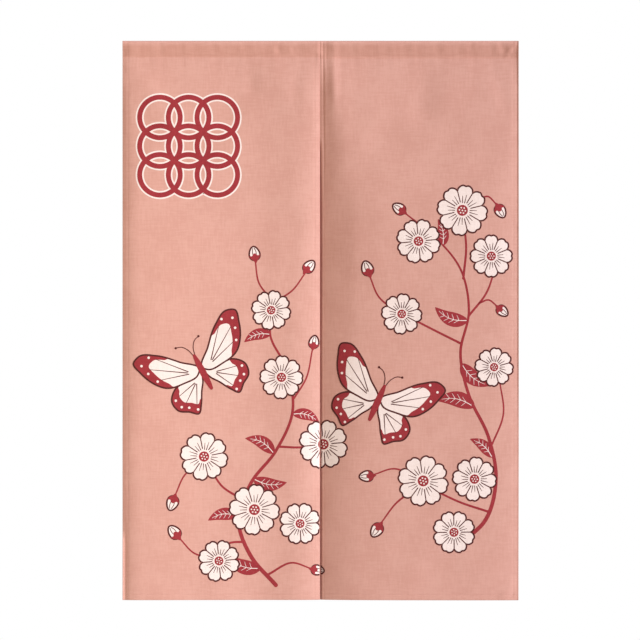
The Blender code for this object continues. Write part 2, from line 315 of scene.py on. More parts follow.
def lengthwise(side, x):
    """The cloth's line down each column x, from the channel's back edge to the foot hem's inner
    edge: rows of y and drop. The channel's loop runs into the hanging face, which rolls under at
    the foot and comes back up behind itself."""
    loop_drop, loop_y, sewn = channel_rows()
    front = np.arange(len(loop_y)) > len(loop_y) / 2
    face_share = front * np.sin(np.pi * np.clip(loop_drop / CHANNEL, 0, 1))
    drawn = sum(depth * np.exp(-((x - middle) / half_width) ** 2)
                for middle, half_width, depth in PUCKERS)
    short = sum(height * np.sin(2 * np.pi * x / length + phase + 1.0)
                for length, phase, height in GATHERS)
    channel_drop = loop_drop[:, None] + 0 * x
    hem = hem_groove(side, x, 0 * x)
    channel_y = loop_y[:, None] + face_share[:, None] * (0.6 * drawn + short)[None, :]
    channel_y += np.where(front, 1.0, -1.0)[:, None] * hem[None, :]
    pressed = crease_depth(SEAM_LINES + CORNER_CREASES, x[None, :], channel_drop)
    pressed -= edge_lip(side, x[None, :], channel_drop)
    channel_y += front[:, None] * pressed
    first, last = panel_edges(side, 0 * x)
    inward = np.minimum(x - first, last - x)
    hemmed = 1 - ease(inward, SIDE_HEM, SIDE_HEM + 6 * MM)
    layers = 2 * CLOTH + 0.1 * MM + 1.3 * MM * hemmed
    face = face_back(side, x[None, :], channel_drop) + CHANNEL_PINCH / 2
    channel_y += sewn[:, None] * (face + layers[None, :])

    near_seam = STITCH_LINE + np.array((0.0, 0.6, 1.2, 2.0, 3.0, 4.5, 6.5, 9.0)) * MM
    roll = FOOT_HEM_ROLL + CORNER_ROLL * (
        ease(x, x.min() + 1.5 * SIDE_HEM, x.min() + SIDE_HEM)
        + ease(x, x.max() - 1.5 * SIDE_HEM, x.max() - SIDE_HEM))
    near_foot = FOOT - np.array((16.0, 14.0, 12.6, 11.8, 11.0, 10.2, 8.8, 6.5, 4.0)) * MM
    hanging = np.concatenate((near_seam, np.linspace(near_seam[-1], near_foot[0], 248)[1:-1],
                              near_foot))
    turn = np.linspace(0.0, np.pi, 8)[:, None]
    under = FOOT - roll + roll * np.sin(turn)
    flap = np.linspace(FOOT - 2 * roll, FOOT - FOOT_HEM + 0 * roll, 4)
    drop = np.concatenate((hanging[:, None] + 0 * x, under, flap))
    behind = np.concatenate((0 * hanging[:, None] + 0 * x, roll * (1 - np.cos(turn)),
                             2 * roll + 0 * flap))
    hanging_y = face_back(side, x[None, :] + 0 * drop, drop) + behind
    return np.concatenate((channel_y, hanging_y)), np.concatenate((channel_drop, drop))


def widthwise(width):
    """The cloth's line across: it starts at one side hem's inner edge, behind the face, rolls
    round the panel's edge, crosses the face and rolls back at the other edge. Gives the distance
    from the panel's first edge, how far behind the face, and the distance along the flat cloth."""
    turn = np.linspace(0.0, np.pi, 7)
    rolled = SIDE_HEM_ROLL * (1 - np.sin(turn))
    behind = SIDE_HEM_ROLL * (1 + np.cos(turn))
    hem = np.linspace(SIDE_HEM, 1.6 * MM, 4)
    edge = np.array((0.7, 1.3, 2.1, 3.2, 4.4, 5.4, 6.4, 7.4, 8.6, 9.6, 10.6, 11.4, 12.2, 13.4,
                     16.0)) * MM
    face = np.concatenate((edge, np.linspace(edge[-1], width - edge[-1], 94)[1:-1],
                           width - edge[::-1]))
    across = np.concatenate((hem, rolled, face, width - rolled, width - hem[::-1]))
    depth = np.concatenate((2 * SIDE_HEM_ROLL + 0 * hem, behind, 0 * face, behind[::-1],
                            2 * SIDE_HEM_ROLL + 0 * hem))
    flat = np.concatenate(((0.0,), np.cumsum(np.hypot(np.diff(across), np.diff(depth)))))
    return across, depth, flat - SIDE_HEM


def sheet_mesh(name, points, flat_across, flat_down):
    """A mesh from a grid of points, with the flat cloth's own distances as its UV map."""
    rows, columns = points.shape[:2]
    corner = np.arange(rows * columns).reshape(rows, columns)
    quads = np.stack((corner[:-1, :-1], corner[1:, :-1], corner[1:, 1:], corner[:-1, 1:]), axis=-1)
    mesh = bpy.data.meshes.new(name)
    mesh.from_pydata(points.reshape(-1, 3).tolist(), [], quads.reshape(-1, 4).tolist())
    uv = np.stack((flat_across + 0 * flat_down, flat_down + 0 * flat_across), axis=-1)
    mesh.uv_layers.new(name="cloth")
    mesh.uv_layers["cloth"].data.foreach_set("uv", uv.reshape(-1, 2)[quads.ravel()].ravel())
    mesh.shade_smooth()
    piece = bpy.data.objects.new(name, mesh)
    bpy.context.scene.collection.objects.link(piece)
    return piece


def make_cloth(side):
    """One half of the curtain: each point of the lengthwise line, pushed to the cloth's wrong
    side, square to that line, by the depth that the widthwise line gives."""
    across, depth, flat_across = widthwise(HALF_WIDTH)
    left, right = panel_edges(side, np.array(0.0))
    start_y, start_drop = lengthwise(side, left + across * (right - left) / across.max())
    left, right = panel_edges(side, start_drop)
    x = left + across / across.max() * (right - left)
    y = start_y
    hanging = len(channel_rows()[0])
    y[hanging:] += (face_back(side, x[hanging:], start_drop[hanging:])
                    - face_back(side, x[:1] + 0 * x[hanging:], start_drop[hanging:]))
    down_y = np.gradient(y, axis=0)
    down_drop = np.gradient(start_drop, axis=0)
    step = np.hypot(down_y, down_drop)
    points = np.stack((x, y + depth * down_drop / step, -start_drop + depth * down_y / step), -1)
    flat_down = np.concatenate((np.zeros((1, x.shape[1])), np.cumsum(step[1:], axis=0)))
    cloth = sheet_mesh(side + "_cloth", points, flat_across[None, :], flat_down)
    # Painted shade: the channel's doubled cloth is darkened in colour, standing in for the light that
    # a single layer lets through.
    doubled_shade = ease(start_drop, 0.9 * CHANNEL_CROWN, 2 * CHANNEL_CROWN)
    shows = STITCH_LINE + FLAP_SHADE_SHOWS[side]
    doubled_shade[hanging:] *= 1 - ease(start_drop[hanging:], shows - 0.5 * MM, shows + 2.5 * MM)
    cloth.data.attributes.new("doubled_shade", "FLOAT", "POINT").data.foreach_set("value", doubled_shade.ravel())
    return cloth


def node(tree, kind, **settings):
    """Adds a node. A setting that names an input socket fills or links it, any other is a
    property of the node. Spaces in a socket's name are written as underscores."""
    made = tree.nodes.new(kind)
    for key, value in settings.items():
        socket = made.inputs.get(key.replace("_", " ")) if key[0].isupper() else None
        if key.startswith("in") and key[2:].isdigit():
            socket = made.inputs[int(key[2:])]
        if socket is None:
            setattr(made, key, value)
        elif isinstance(value, bpy.types.NodeSocket):
            tree.links.new(value, socket)
        else:
            socket.default_value = value
    return made


def calculate(tree, operation, *values):
    """The result of a math node."""
    return node(tree, "ShaderNodeMath", operation=operation,
                **{"in%d" % place: value for place, value in enumerate(values)}).outputs[0]


def blend_colour(tree, share, first, second, how="MIX"):
    """The result of a colour mix node."""
    mix = node(tree, "ShaderNodeMix", data_type="RGBA", blend_type=how)
    for socket, value in ((mix.inputs[0], share), (mix.inputs[6], first), (mix.inputs[7], second)):
        if isinstance(value, bpy.types.NodeSocket):
            tree.links.new(value, socket)
        else:
            socket.default_value = value
    return mix.outputs[2]


THREAD_PITCH = 0.62 * MM
WEAVE_HEIGHT = 0.11 * MM


def woven(name, colour, deep, sheen, show_through=0.0, ground=(0.5, 0.5, 0.5)):
    """Plain-woven cloth. Warp and weft pillows alternate as the product of two sines. Slubs are
    noise drawn out along each thread direction, and the dye is a little uneven all over."""
    material = bpy.data.materials.new(name)
    material.use_nodes = True
    tree = material.node_tree
    shader = tree.nodes["Principled BSDF"]
    place = node(tree, "ShaderNodeUVMap", uv_map="cloth").outputs[0]
    split = node(tree, "ShaderNodeSeparateXYZ", Vector=place)
    warp = calculate(tree, "SINE", calculate(tree, "MULTIPLY", split.outputs[0], np.pi / THREAD_PITCH))
    weft = calculate(tree, "SINE", calculate(tree, "MULTIPLY", split.outputs[1], np.pi / THREAD_PITCH))
    product = calculate(tree, "MULTIPLY", warp, weft)
    over = calculate(tree, "GREATER_THAN", product, 0.0)
    tall = calculate(tree, "MULTIPLY",
                     calculate(tree, "POWER", calculate(tree, "ABSOLUTE", warp), 0.8),
                     calculate(tree, "POWER", calculate(tree, "ABSOLUTE", weft), 0.35))
    wide = calculate(tree, "MULTIPLY",
                     calculate(tree, "POWER", calculate(tree, "ABSOLUTE", warp), 0.35),
                     calculate(tree, "POWER", calculate(tree, "ABSOLUTE", weft), 0.8))
    pillow = calculate(tree, "ADD", calculate(tree, "MULTIPLY", over, tall),
                       calculate(tree, "MULTIPLY", calculate(tree, "SUBTRACT", 1.0, over), wide))

    def slubs(stretch_x, stretch_y, scale):
        drawn_out = node(tree, "ShaderNodeMapping", Vector=place, Scale=(stretch_x, stretch_y, 1.0))
        return node(tree, "ShaderNodeTexNoise", Vector=drawn_out.outputs[0], Scale=scale,
                    Detail=3.0, Roughness=0.6).outputs[0]

    warp_slubs = slubs(9.0, 0.45, 110.0)
    weft_slubs = slubs(0.45, 9.0, 110.0)
    cloudy = node(tree, "ShaderNodeTexNoise", Vector=place, Scale=14.0, Detail=3.0,
                  Roughness=0.55).outputs[0]
    speckle = node(tree, "ShaderNodeTexNoise", Vector=place, Scale=900.0, Detail=2.0,
                   Roughness=0.7).outputs[0]

    slub = calculate(tree, "MULTIPLY", calculate(tree, "ADD", warp_slubs, weft_slubs), 0.5)
    coarse = calculate(tree, "ADD", slubs(3.2, 0.4, 80.0), slubs(0.4, 3.2, 80.0))
    tone = calculate(tree, "ADD", calculate(tree, "MULTIPLY", slub, 0.25),
                     calculate(tree, "ADD", calculate(tree, "MULTIPLY", cloudy, 0.25),
                               calculate(tree, "MULTIPLY", coarse, 0.25)))
    tone = node(tree, "ShaderNodeMapRange", Value=tone, From_Min=0.445, From_Max=0.555,
                To_Min=0.0, To_Max=1.0).outputs[0]
    dyed = blend_colour(tree, tone, (*deep, 1.0), (*colour, 1.0))
    if show_through:
        bare = node(tree, "ShaderNodeMapRange", Value=speckle, From_Min=0.52, From_Max=0.66,
                    To_Min=0.0, To_Max=show_through).outputs[0]
        dyed = blend_colour(tree, bare, dyed, (*ground, 1.0))
    # Painted shade: the colour is darker where the threads dip between their crowns.
    weave_gap_shade = calculate(tree, "MULTIPLY_ADD", pillow, 0.10, 0.93)
    shaded = blend_colour(tree, 1.0, dyed, weave_gap_shade, "MULTIPLY")
    # Painted shade: the colour is multiplied darker where the cloth is doubled, over the channel.
    doubled_shade = node(tree, "ShaderNodeAttribute", attribute_name="doubled_shade").outputs["Fac"]
    channel_shaded = blend_colour(tree, 1.0, shaded, (*CHANNEL_SHADE, 1.0), "MULTIPLY")
    tree.links.new(blend_colour(tree, doubled_shade, shaded, channel_shaded), shader.inputs["Base Color"])

    height = calculate(tree, "ADD", calculate(tree, "MULTIPLY", pillow, 0.6),
                       calculate(tree, "MULTIPLY", slub, 0.9))
    bump = node(tree, "ShaderNodeBump", Strength=0.55, Distance=WEAVE_HEIGHT, Height=height)
    tree.links.new(bump.outputs[0], shader.inputs["Normal"])
    shader.inputs["Roughness"].default_value = 0.93
    shader.inputs["Specular IOR Level"].default_value = 0.22
    shader.inputs["Sheen Weight"].default_value = sheen
    shader.inputs["Sheen Roughness"].default_value = 0.45
    shader.inputs["Sheen Tint"].default_value = (*colour, 1.0)
    return material


SALMON = (0.666, 0.372, 0.330)
SALMON_DEEP = (0.618, 0.329, 0.288)
# The painted shade that darkens the channel's doubled cloth
CHANNEL_SHADE = (0.960, 0.915, 0.885)
salmon_cloth = woven("salmon_cloth", SALMON, SALMON_DEEP, sheen=0.10)

for side in ("left", "right"):
    cloth = make_cloth(side)
    cloth.data.materials.append(salmon_cloth)
    body = cloth.modifiers.new("cloth thickness", "SOLIDIFY")
    body.thickness = CLOTH
    body.offset = -1.0
    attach(cloth, "root")
    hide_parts(side + "_panel", side + "_rod_channel")

# The stitching
# Salmon polyester thread, lockstitched: a row along each side hem from under the channel to the foot,
# a row along the foot hem, and a row under the channel, each seen on both sides of the cloth.
# Overcast stitches on the wrong side join the two panels from the channel down to the slit.

STITCH_PITCH = 3.4 * MM
STITCH_LENGTH = 2.5 * MM
THREAD = 0.20 * MM
THREAD_DIP = 0.18 * MM
OVERCAST_PITCH = 3.6 * MM
OVERCAST_REACH = 2.6 * MM
THREAD_PINK = (0.690, 0.350, 0.285)


def thread_finish():
    """Two-ply thread: painted shade in slanting lines where the plies lie against each other, and a
    bump along them.
    """
    material = bpy.data.materials.new("salmon_thread")
    material.use_nodes = True
    tree = material.node_tree
    shader = tree.nodes["Principled BSDF"]
    place = node(tree, "ShaderNodeTexCoord").outputs["Object"]
    twist = node(tree, "ShaderNodeTexWave", Vector=place, wave_type="BANDS",
                 bands_direction="DIAGONAL", Scale=900.0, Distortion=1.5).outputs[1]
    # Painted shade: the colour is darker along the grooves between the plies.
    dyed = blend_colour(tree, twist, (*[0.8 * part for part in THREAD_PINK], 1.0),
                        (*THREAD_PINK, 1.0))
    tree.links.new(dyed, shader.inputs["Base Color"])
    bump = node(tree, "ShaderNodeBump", Strength=0.5, Distance=THREAD / 4, Height=twist)
    tree.links.new(bump.outputs[0], shader.inputs["Normal"])
    shader.inputs["Roughness"].default_value = 0.6
    shader.inputs["Sheen Weight"].default_value = 0.15
    return material


def stitches(name, middle, along, outward, length):
    """A row of stitches. Each is a short four-sided rod round its own line, with its two ends
    drawn down into the cloth as the square of the distance from its middle."""
    along = along / np.linalg.norm(along, axis=1, keepdims=True)
    aside = np.cross(along, outward)
    ring = np.array((-1.0, -0.62, 0.62, 1.0))[None, :, None, None]
    thick = THREAD * np.array((0.35, 1.0, 1.0, 0.35))[None, :, None, None]
    turn = (np.arange(4) * np.pi / 2 + np.pi / 4)[None, None, :, None]
    points = (middle[:, None, None, :] + along[:, None, None, :] * ring * length / 2
              + aside[:, None, None, :] * thick * np.cos(turn)
              + outward[:, None, None, :] * (0.8 * thick * np.sin(turn) - THREAD_DIP * ring ** 2))
    corner = np.arange(points[..., 0].size).reshape(points.shape[:3])
    after = np.roll(corner, -1, axis=2)
    wall = np.stack((corner[:, :-1], after[:, :-1], after[:, 1:], corner[:, 1:]), -1)
    quads = np.concatenate((wall.reshape(-1, 4), corner[:, 0, ::-1], corner[:, -1]))
    mesh = bpy.data.meshes.new(name)
    mesh.from_pydata(points.reshape(-1, 3).tolist(), [], quads.tolist())
    mesh.shade_smooth()
    mesh.materials.append(salmon_thread)
    piece = bpy.data.objects.new(name, mesh)
    bpy.context.scene.collection.objects.link(piece)
    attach(piece, "root")
    return piece


def sewn_lines(side):
    """Where a cloth is sewn: a list of lines, each one its points on the face and how far behind
    them the wrong side lies."""
    down = np.arange(STITCH_LINE + 2 * MM, FOOT - 1.5 * MM, STITCH_PITCH)
    first, last = panel_edges(side, down)
    hem_back = 2 * SIDE_HEM_ROLL
    lines = []
    for x in (first + HEM_STITCHES, last - HEM_STITCHES):
        lines.append((x, face_back(side, x, down), down, hem_back))
    first, last = panel_edges(side, np.array(FOOT))
    x = np.arange(first + 2 * MM, last - 2 * MM, STITCH_PITCH)
    drop = FOOT - HEM_STITCHES + 0 * x
    lines.append((x, face_back(side, x, drop), drop, 2 * FOOT_HEM_ROLL))
    first, last = panel_edges(side, np.array(CHANNEL))
    x = np.arange(first + 2 * MM, last - 2 * MM, STITCH_PITCH)
    drop = STITCH_LINE + 0 * x
    lines.append((x, face_back(side, x, drop), drop, 2 * CLOTH))
    return lines


salmon_thread = thread_finish()
sewing = {"left": [], "right": []}
for side in ("left", "right"):
    middle, along, outward = [], [], []
    for x, y, drop, thickness in sewn_lines(side):
        path = np.stack((x, y, -drop), -1)
        run = np.gradient(path, axis=0)
        for face, behind in ((-1.0, 0.0), (1.0, thickness)):
            middle.append(path + (0.0, behind, 0.0))
            along.append(run)
            outward.append(np.tile((0.0, face, 0.0), (len(path), 1)))
    row = stitches(side + "_stitching", np.concatenate(middle), np.concatenate(along),
                   np.concatenate(outward), STITCH_LENGTH)
    sewing[side].append(row)

drop = np.arange(CHANNEL + 3 * MM, SEAM_FOOT, OVERCAST_PITCH)
rear_left = face_back("left", SEAM_X - OVERCAST_REACH, drop) + 2 * SIDE_HEM_ROLL
rear_right = face_back("right", SEAM_X + OVERCAST_REACH, drop) + 2 * SIDE_HEM_ROLL
middle = np.stack((SEAM_X + 0 * drop, (rear_left + rear_right) / 2 + THREAD_DIP, -drop), -1)
along = np.stack((2 * OVERCAST_REACH + 0 * drop, rear_right - rear_left,
                  OVERCAST_PITCH / 2 + 0 * drop), -1)
overcast = stitches("seam_stitching", middle, along, np.tile((0.0, 1.0, 0.0), (len(drop), 1)),
                    2 * OVERCAST_REACH)

# The print
# Three screen-printed inks, white, crimson and a maroon for the fine lines, laid over the sewn
# curtain in one go, so that the
# design runs on across the slit. Nine linked circles with white edges fill the top of the
# left panel. Below, sprays of eight-petalled flowers and two butterflies spread over both.

RING_LINE = 5.3 * MM
WHITE_EDGE = 3.4 * MM
OUTLINE = 1.75 * MM
BOTTOM_COAT = 0.08 * MM
LEAF_COAT = 0.03 * MM
WHITE_COAT = 0.22 * MM
CRIMSON_COAT = 0.27 * MM
TOP_COAT = 0.32 * MM
NEARER = 0.13 * MM
INK_THICKNESS = 0.06 * MM
CELL = 4.2 * MM
EDGE_MARGIN = 0.8 * MM
CRIMSON = (0.340, 0.033, 0.046)
CRIMSON_DEEP = (0.290, 0.026, 0.037)
MAROON = (0.085, 0.015, 0.016)
MAROON_DEEP = (0.070, 0.012, 0.013)
WHITE = (0.895, 0.790, 0.800)
WHITE_DEEP = (0.845, 0.733, 0.735)

crimson_ink = woven("crimson_ink", CRIMSON, CRIMSON_DEEP, 0.06, 0.10, SALMON)
maroon_ink = woven("maroon_ink", MAROON, MAROON_DEEP, 0.05, 0.10, SALMON)
white_ink = woven("white_ink", WHITE, WHITE_DEEP, 0.08, 0.22, SALMON)


def curve_through(points, closed=False):
    """A smooth line through points, with a step of about 3 mm. Each coordinate is a cubic curve
    over the length of the straight lines between the points."""
    points = np.asarray(points, float)
    if closed:
        points = np.concatenate((points[-3:], points, points[:3]))
    knots = np.append(0.0, np.cumsum(np.linalg.norm(np.diff(points, axis=0), axis=1)))
    start, end = (knots[3], knots[-3]) if closed else (0.0, knots[-1])
    at = np.linspace(start, end, max(8, int((end - start) / (3.0 * MM))))
    return np.stack([smooth_through(at, knots[:, None] + 0 * at, column[:, None] + 0 * at)
                     for column in points.T], -1)


def turned(points, angle, place=(0.0, 0.0), size=1.0):
    """Points scaled, turned clockwise as seen from the front, and moved to a place."""
    spin = np.array(((np.cos(angle), np.sin(angle)), (-np.sin(angle), np.cos(angle))))
    return np.asarray(points) * size @ spin + place


def ribbon(path, half_width, round_ends=True):
    """A stroke of ink: the path moved to each side by the half width. A round end adds half a
    circle, so the half width there is the root of one less the square of how far past it is."""
    path = np.asarray(path, float)
    width = np.broadcast_to(half_width, len(path)).astype(float)
    if round_ends:
        past = np.array((0.35, 0.7, 0.92, 1.0))
        thin = np.sqrt(1.001 - past ** 2)
        first = path[0] - path[1]
        last = path[-1] - path[-2]
        first = path[0] + first / np.linalg.norm(first) * width[0] * past[::-1, None]
        last = path[-1] + last / np.linalg.norm(last) * width[-1] * past[:, None]
        path = np.concatenate((first, path, last))
        width = np.concatenate((width[0] * thin[::-1], width, width[-1] * thin))
    run = np.gradient(path, axis=0)
    if not round_ends and np.allclose(path[0], path[-1]):
        run[0] = run[-1] = path[1] - path[-2]
    run /= np.maximum(np.linalg.norm(run, axis=1, keepdims=True), 1e-9)
    aside = np.stack((run[:, 1], -run[:, 0]), -1) * width[:, None]
    columns = max(2, int(2 * width.max() / CELL) + 2)
    across = np.linspace(-1.0, 1.0, columns)[None, :, None]
    return path[:, None, :] + aside[:, None, :] * across


def fan(middle, outline, inner=0.0):
    """A filled shape: its outline drawn in towards its middle, from full size down to the inner
    share, which may differ from point to point, in rings about a cell apart."""
    inner = np.broadcast_to(inner, len(outline))
    reach = (np.linalg.norm(outline - middle, axis=1) * (1 - inner)).max()
    share = np.linspace(inner, 1.0, max(2, int(reach / CELL) + 2))[:, :, None]
    return np.asarray(middle) + share * (outline - middle)[None, :, :]


def disc(middle, radius):
    """A round dot."""
    turn = np.linspace(0.0, 2 * np.pi, 19)
    return fan(middle, middle + radius * np.stack((np.cos(turn), np.sin(turn)), -1))


def bend_lines(side):
    """Upright lines, half a millimetre apart, where a face bends sharply: along the stitches of
    its two side hems, and on the right panel from its slit edge to there."""
    first, last = panel_edges(side, np.array(FOOT))
    near = np.arange(-2.6, 2.7, 0.5) * MM
    slit = np.arange(0.4 * MM, HEM_STITCHES - near[-1], 0.5 * MM) if side == "right" else []
    return np.concatenate((first + HEM_STITCHES + near, last - HEM_STITCHES + near, first + slit))


def lay_print(name, ink, side, shapes):
    """Lays printed shapes on one cloth's face. They are drawn flat, cut off at the cloth's edges
    and cut along its bend lines, so that the ink bends as the cloth does. Each point then goes
    to the face's depth, less the coat of its shape, which the flat drawing holds as its y."""
    points, quads, count = [], [], 0
    for grid, coat in shapes:
        rows, columns = grid.shape[:2]
        corner = count + np.arange(rows * columns).reshape(rows, columns)
        points.append(np.insert(grid.reshape(-1, 2) * (1.0, -1.0), 1, coat, axis=1))
        quads.append(np.stack((corner[:-1, :-1], corner[1:, :-1], corner[1:, 1:],
                               corner[:-1, 1:]), -1).reshape(-1, 4))
        count += rows * columns
    points = np.concatenate(points)
    quads = np.concatenate(quads)
    first, last = panel_edges(side, np.array(FOOT))
    first = float(first) + EDGE_MARGIN
    last = float(last) - EDGE_MARGIN
    x, up = points[:, 0][quads], points[:, 2][quads]
    reaches = (x.max(axis=1) > first) & (x.min(axis=1) < last)
    if not reaches.any():
        return None
    area = (x * np.roll(up, -1, axis=1) - np.roll(x, -1, axis=1) * up).sum(axis=1)
    quads = np.where((area > 0)[:, None], quads, quads[:, ::-1])[reaches]
    used, quads = np.unique(quads, return_inverse=True)
    mesh = bpy.data.meshes.new(name)
    mesh.from_pydata(points[used].tolist(), [], quads.reshape(-1, 4).tolist())
    drawing = bmesh.new()
    drawing.from_mesh(mesh)
    bmesh.ops.remove_doubles(drawing, verts=drawing.verts, dist=0.02 * MM)
    bmesh.ops.dissolve_degenerate(drawing, edges=drawing.edges, dist=0.02 * MM)
    cuts = [(line, False, False) for line in bend_lines(side) if x.min() < line < x.max()]
    for line, below, above in cuts + [(first, True, False), (last, False, True)]:
        bmesh.ops.bisect_plane(drawing, geom=drawing.verts[:] + drawing.edges[:] + drawing.faces[:],
                               dist=0.001 * MM, plane_co=(line, 0.0, 0.0), plane_no=(1.0, 0.0, 0.0),
                               clear_inner=below, clear_outer=above)
    drawing.to_mesh(mesh)
    drawing.free()
    place = np.empty(3 * len(mesh.vertices))
    mesh.vertices.foreach_get("co", place)
    x, coat, up = place.reshape(-1, 3).T
    corner = np.empty(len(mesh.loops), int)
    mesh.loops.foreach_get("vertex_index", corner)
    uv = mesh.uv_layers.new(name="cloth")
    uv.data.foreach_set("uv", np.stack((x, up), -1)[corner].ravel())
    y = face_back(side, x, -up) - coat
    mesh.vertices.foreach_set("co", np.stack((x, y, up), -1).ravel())
    mesh.update()
    mesh.shade_smooth()
    mesh.materials.append(ink)
    piece = bpy.data.objects.new(name, mesh)
    bpy.context.scene.collection.objects.link(piece)
    body = piece.modifiers.new("ink film", "SOLIDIFY")
    body.thickness = INK_THICKNESS
    body.offset = -1.0
    flat = piece.modifiers.new("flat film", "WEIGHTED_NORMAL")
    flat.mode = "FACE_AREA"
    flat.weight = 100
    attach(piece, "root")
    sewing[side].append(piece)
    return piece


def lay_motif(name, crimson, white, fine):
    """Lays a motif's three inks on each cloth that it reaches."""
    for side in ("left", "right"):
        for word, ink, slot, shapes in (("white", white_ink, "white_print", white),
                                        ("crimson", crimson_ink, "crimson_print", crimson),
                                        ("maroon", maroon_ink, "crimson_print", fine)):
            if shapes:
                lay_print("%s_%s_%s" % (name, word, side), ink, side, shapes)


def round_line(middle, radius, start=0.0, end=2 * np.pi):
    """An arc of a circle, as points about 4 mm apart."""
    turn = np.linspace(start, end, max(12, int(abs(end - start) * radius / CELL)))
    return middle + radius * np.stack((np.cos(turn), np.sin(turn)), -1)


def linked_circles(middle, radius):
    """The old pattern of linked circles: nine equal rings in three rows of three, their middles
    the radius times the root of two apart, so that each ring meets its neighbours a quarter of
    the way round. Each ring has a white edge under it."""
    crimson, white = [], []
    for place in range(9):
        steps = np.array((place % 3 - 1, place // 3 - 1))
        line = round_line(np.asarray(middle) + steps * radius * np.sqrt(2), radius)
        lift = place * 0.005 * MM
        white.append((ribbon(line, RING_LINE + WHITE_EDGE, False), BOTTOM_COAT + lift))
        crimson.append((ribbon(line, RING_LINE, False), CRIMSON_COAT + lift))
    return crimson, white, []


def bloom(middle, radius, turn=0.0, nearer=0.0):
    """An eight-petalled flower. Its outline is the radius times a rounded wave of eight lobes,
    each nicked at its tip. Lines part the petals, and short ones run out from a dotted heart."""
    middle = np.asarray(middle)
    around = np.linspace(0.0, 2 * np.pi, 129)
    lobe = np.abs(np.cos(4 * around)) ** 0.55
    nick = np.exp(-(np.sin(4 * around) / 0.30) ** 2)
    reach = radius * (0.76 + 0.24 * lobe - 0.055 * nick)
    outline = middle + reach[:, None] * np.stack((np.cos(around + turn), np.sin(around + turn)), -1)
    white = [(fan(middle, outline), WHITE_COAT + nearer)]
    fine = [(ribbon(outline, OUTLINE, False), CRIMSON_COAT + nearer)]
    for petal in range(8):
        parting = turn + (petal + 0.5) * np.pi / 4
        ray = np.array((np.cos(parting), np.sin(parting)))
        share = np.linspace(0.34, 0.77, 9)[:, None]
        fine.append((ribbon(middle + share * radius * ray, 1.1 * MM),
                     CRIMSON_COAT + 0.02 * MM + nearer))
        for lean, length in ((-0.13, 0.56), (0.13, 0.62)):
            vein = turn + petal * np.pi / 4 + lean
            ray = np.array((np.cos(vein), np.sin(vein)))
            share = np.linspace(0.30, length, 6)[:, None]
            thin = np.linspace(0.95, 0.50, 6) * MM
            fine.append((ribbon(middle + share * radius * ray, thin),
                         CRIMSON_COAT + 0.02 * MM + nearer))
    crimson = [(disc(middle, 0.215 * radius), CRIMSON_COAT + 0.04 * MM + nearer)]
    for dot in range(7):
        facing = turn + dot * 2 * np.pi / 6
        out = 0.115 * radius * (dot < 6)
        place = middle + out * np.array((np.cos(facing), np.sin(facing)))
        white.append((disc(place, 0.032 * radius), TOP_COAT + 0.06 * MM + nearer))
    return crimson, white, fine


def bud(middle, radius, turn):
    """A closed flower: an egg shape with its tip along the turn, two petal lines, and a pointed
    crimson calyx round its base."""
    middle = np.asarray(middle)
    around = np.linspace(0.0, 2 * np.pi, 49)
    egg = np.stack((1.15 * np.cos(around), 0.86 * np.sin(around) * (1 - 0.22 * np.cos(around))), -1)
    outline = turned(egg, turn, middle, radius)
    white = [(fan(middle, outline), WHITE_COAT)]
    fine = [(ribbon(outline, OUTLINE, False), CRIMSON_COAT)]
    for bow in (-0.30, 0.30):
        share = np.linspace(-0.2, 0.85, 9)
        line = np.stack((share, bow * (1 - ((share - 0.1) / 0.95) ** 2)), -1)
        fine.append((ribbon(turned(line, turn, middle, radius), 0.8 * MM),
                     CRIMSON_COAT + 0.02 * MM))
    cup = np.array(((-1.70, 0.0), (-1.18, 0.36), (-0.80, 0.74), (-0.28, 0.96), (-0.42, 0.50),
                    (-0.02, 0.14), (-0.02, -0.14), (-0.42, -0.50), (-0.28, -0.96), (-0.80, -0.74),
                    (-1.18, -0.36)))
    hub = turned((-0.62, 0.0), turn, middle, radius)
    calyx = np.concatenate((cup, cup[:1]))
    crimson = [(fan(hub, turned(calyx, turn, middle, radius)), CRIMSON_COAT + 0.04 * MM)]
    return crimson, white, fine


def leaf(base, length, turn, bow=0.12, width=0.20):
    """A leaf: a ribbon along a bowed midrib, widest a third of the way along, with a white
    midrib and slanting white veins left in it."""
    share = np.linspace(0.0, 1.0, 22)
    spine = np.stack((share, bow * np.sin(np.pi * share)), -1)
    path = turned(spine, -turn, base, length)
    half = length * width * np.sin(np.pi * share ** 0.75) ** 0.85 + 0.25 * MM
    crimson = [(ribbon(path, half, False), BOTTOM_COAT + LEAF_COAT)]
    white = [(ribbon(path[1:19], np.linspace(0.85, 0.35, 18) * MM), BOTTOM_COAT + 2 * LEAF_COAT)]
    for start in (5, 8, 11, 14):
        for tip in (-1.0, 1.0):
            reach = 0.66 * width * np.sin(np.pi * share[start] ** 0.75) * tip
            vein = np.stack((np.linspace(0.0, 0.105, 5), np.linspace(0.0, reach, 5)), -1)
            line = turned(vein + spine[start], -turn, base, length)
            white.append((ribbon(line, np.linspace(0.55, 0.30, 5) * MM),
                          BOTTOM_COAT + 2 * LEAF_COAT + 0.005 * MM))
    return crimson, white, []


def stem(points, thick, thin):
    """A stem: a stroke through the points that narrows evenly from one end to the other. The
    stout ones lie over the side stems that start from them."""
    path = curve_through(points)
    half = np.linspace(thick, thin, len(path)) / 2
    return [(ribbon(path, half), BOTTOM_COAT + (3.2 if thick > 6 * MM else 2.3) * LEAF_COAT)], [], []


FORE_WING = ((0.02, 0.02), (0.16, -0.14), (0.34, -0.31), (0.50, -0.385), (0.58, -0.35),
             (0.56, -0.22), (0.50, -0.08), (0.40, 0.03), (0.22, 0.07), (0.06, 0.06))
HIND_WING = ((0.02, 0.05), (0.16, 0.07), (0.33, 0.08), (0.42, 0.18), (0.40, 0.29), (0.31, 0.35),
             (0.23, 0.41), (0.17, 0.34), (0.10, 0.22), (0.04, 0.13))


